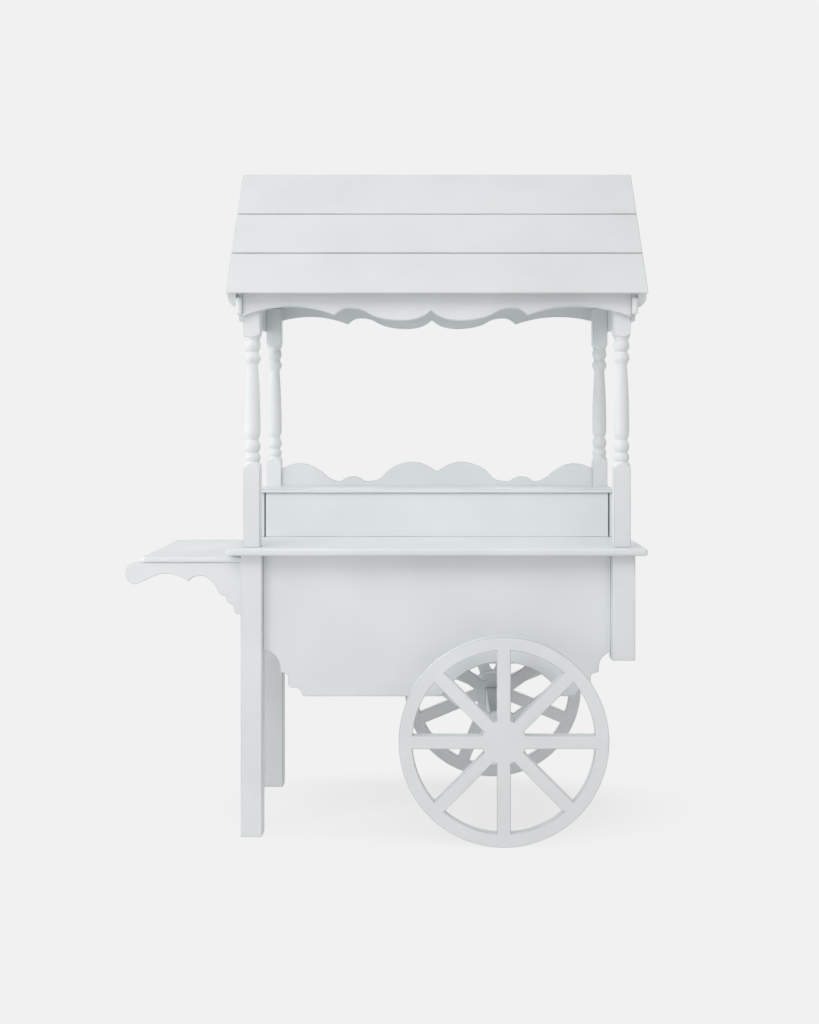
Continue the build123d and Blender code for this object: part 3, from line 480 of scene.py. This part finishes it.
zinc_plate = bare_finish("bright_zinc_plate", ZINC_TONES, [CRYSTAL_SIZE] * 3, CRYSTAL_DEPTH,
                         ZINC_ROUGHNESS, 1.0)
drawn_steel = bare_finish("cold_drawn_steel", STEEL_TONES, (DRAWN_WIDTH, DRAWN_LENGTH, DRAWN_WIDTH),
                          DRAWN_DEPTH, STEEL_ROUGHNESS, 1.0)
sintered_bronze = bare_finish("sintered_bronze", BRONZE_TONES, [PORE_SIZE] * 3, PORE_DEPTH,
                              BRONZE_ROUGHNESS, 1.0)
bare_beech_x = bare_finish("bare_beech_grain_x", BEECH_TONES, (FLECK_LENGTH, FLECK_WIDTH, FLECK_WIDTH),
                           FLECK_DEPTH, BEECH_ROUGHNESS, 0.0)
bare_beech_z = bare_finish("bare_beech_grain_z", BEECH_TONES, (FLECK_WIDTH, FLECK_WIDTH, FLECK_LENGTH),
                           FLECK_DEPTH, BEECH_ROUGHNESS, 0.0)
BARE_NODES = {
    "axle": (drawn_steel, "axle_steel"), "axle_lock_pin": (zinc_plate, "zinc_steel"),
    "thrust_washers": (zinc_plate, "zinc_steel"), "front_hub_screw": (zinc_plate, "zinc_steel"),
    "rear_hub_screw": (zinc_plate, "zinc_steel"), "front_hub_bush": (sintered_bronze, "bronze"),
    "rear_hub_bush": (sintered_bronze, "bronze"), "bracket_dowels": (bare_beech_x, "beech"),
    "post_dowels": (bare_beech_z, "beech"), "shelf_dowels": (bare_beech_z, "beech"),
}
CHAMFER = 0.5 * MM
bare_pieces = [eased_copy(node, finish, finish, CHAMFER, steps=2)
               for node, (finish, slot) in BARE_NODES.items()]
print("bare pieces:", len(bare_pieces))

# %% [markdown]
# ## A pan-head screw
# The hangers, the hub bosses and the counter are held by five-millimetre screws with domed heads and a
# cross recess. The solids only keep their room, as plain pegs. A screw could be spun from its profile,
# but pulling it out of a disc shows its parts: the head is a disc extruded and rounded, the shank is its
# underside inset and drawn out, the point is the end drawn in, and two tapered bars cut the recess.

# %% Model one screw
HEAD_RADIUS = 5.0 * MM
HEAD_HEIGHT = 4.0 * MM
HEAD_DOME = 2.6 * MM
DOME_STEPS = 6
SHANK_RADIUS = 2.5 * MM
POINT_LENGTH = 5.0 * MM
POINT_SHARE = 0.12
RECESS_REACH = 2.9 * MM
RECESS_WIDTH = 1.3 * MM
RECESS_DEPTH = 2.4 * MM
RECESS_TAPER = 0.55
SCREW_SIDES = 40


def pick_faces(piece, wanted):
    """Selects the faces that a test accepts, in edit mode."""
    bpy.ops.mesh.select_all(action="DESELECT")
    bpy.ops.object.mode_set(mode="OBJECT")
    for face in piece.data.polygons:
        face.select = wanted(face)
    bpy.ops.object.mode_set(mode="EDIT")


def draw_out(distance):
    """Extrudes the selected faces along Z."""
    bpy.ops.mesh.extrude_region_move(TRANSFORM_OT_translate={"value": (0, 0, distance)})


def recess_bar(turn):
    """One tapered bar of the cross, standing in the head."""
    bpy.ops.object.select_all(action="DESELECT")
    bpy.ops.mesh.primitive_cube_add(size=1.0, location=(0, 0, HEAD_HEIGHT), rotation=(0, 0, turn),
                                    scale=(2 * RECESS_REACH, RECESS_WIDTH, 2 * RECESS_DEPTH))
    bar = bpy.context.object
    bpy.ops.object.mode_set(mode="EDIT")
    pick_faces(bar, lambda face: face.normal.z < -0.9)
    bpy.ops.transform.resize(value=(RECESS_TAPER, RECESS_TAPER, 1.0))
    bpy.ops.object.mode_set(mode="OBJECT")
    return bar


def pan_head_screw(shank_length):
    """A screw that stands on its point: its seat is at zero and its head above."""
    bpy.ops.object.select_all(action="DESELECT")
    bpy.ops.mesh.primitive_circle_add(vertices=SCREW_SIDES, radius=HEAD_RADIUS, fill_type="NGON")
    screw = bpy.context.object
    bpy.ops.object.mode_set(mode="EDIT")
    draw_out(HEAD_HEIGHT)
    bpy.ops.mesh.bevel(offset=HEAD_DOME, segments=DOME_STEPS, affect="EDGES")
    bpy.ops.mesh.select_all(action="SELECT")
    bpy.ops.mesh.normals_make_consistent(inside=False)
    pick_faces(screw, lambda face: face.normal.z < -0.9)
    bpy.ops.mesh.inset(thickness=HEAD_RADIUS - SHANK_RADIUS)
    draw_out(POINT_LENGTH - shank_length)
    draw_out(-POINT_LENGTH)
    bpy.ops.transform.resize(value=(POINT_SHARE, POINT_SHARE, 1.0))
    bpy.ops.object.mode_set(mode="OBJECT")
    for turn in (0.0, math.pi / 2):
        bar = recess_bar(turn)
        apply_modifier(screw, "BOOLEAN", object=bar, operation="DIFFERENCE", solver="EXACT")
        bpy.data.objects.remove(bar)
    screw.data.materials.append(zinc_plate)
    pick(screw)
    bpy.ops.object.shade_smooth_by_angle(angle=SHARP_ANGLE)
    return screw


# %% [markdown]
# ## Driving the screws
# Each peg of the solids stands for one screw, and its box gives the place, the length and the way it
# points. A screw could be placed by typed numbers, but then a change of the solids would leave it behind.
# So one screw is modelled for each length and copied to every peg, each copy with its own mesh and turned
# a bit further, because no one stops every screw at the same angle.

# %% Drive every screw
SCREW_NODES = ("hanger_screws", "front_boss_screws", "rear_boss_screws", "table_screws")
TURN_STEP = 2.4


def loose_boxes(node):
    """The lowest and highest corner of each separate solid of a node."""
    pick(welded_copy(node, "spare"))
    bpy.ops.object.mode_set(mode="EDIT")
    bpy.ops.mesh.separate(type="LOOSE")
    bpy.ops.object.mode_set(mode="OBJECT")
    boxes = []
    for part in list(bpy.context.selected_objects):
        places = [vertex.co for vertex in part.data.vertices]
        boxes.append([Vector(edge(p[axis] for p in places) for axis in range(3)) for edge in (min, max)])
        bpy.data.objects.remove(part)
    return sorted(boxes, key=lambda box: tuple(box[0]))


def drive_screw(master, name, node, seat, tilt, turn):
    """Puts a copy of a screw in its place, with its point towards the wood."""
    screw = bpy.data.objects.new(name, master.data.copy())
    scene.collection.objects.link(screw)
    screw.rotation_mode = "ZYX"
    screw.rotation_euler = (tilt, 0, turn)
    screw.location = seat
    pick(screw)
    bpy.ops.object.transform_apply(location=True, rotation=True, scale=True)
    stand_in(screw, node)


for node in SCREW_NODES:
    boxes = loose_boxes(node)
    upright = boxes[0][1].z - boxes[0][0].z > boxes[0][1].y - boxes[0][0].y
    axis = 2 if upright else 1
    master = pan_head_screw(boxes[0][1][axis] - boxes[0][0][axis] - HEAD_HEIGHT)
    for index, (low, high) in enumerate(boxes):
        seat = (low + high) / 2
        towards = 1 if upright or seat.y > 0 else -1
        seat[axis] = low[axis] + HEAD_HEIGHT if towards > 0 else high[axis] - HEAD_HEIGHT
        tilt = math.pi if upright else towards * math.pi / 2
        drive_screw(master, f"{node}_{index + 1}", node, seat, tilt, index * TURN_STEP)
    bpy.data.objects.remove(master)
    print(node, "driven:", len(boxes))
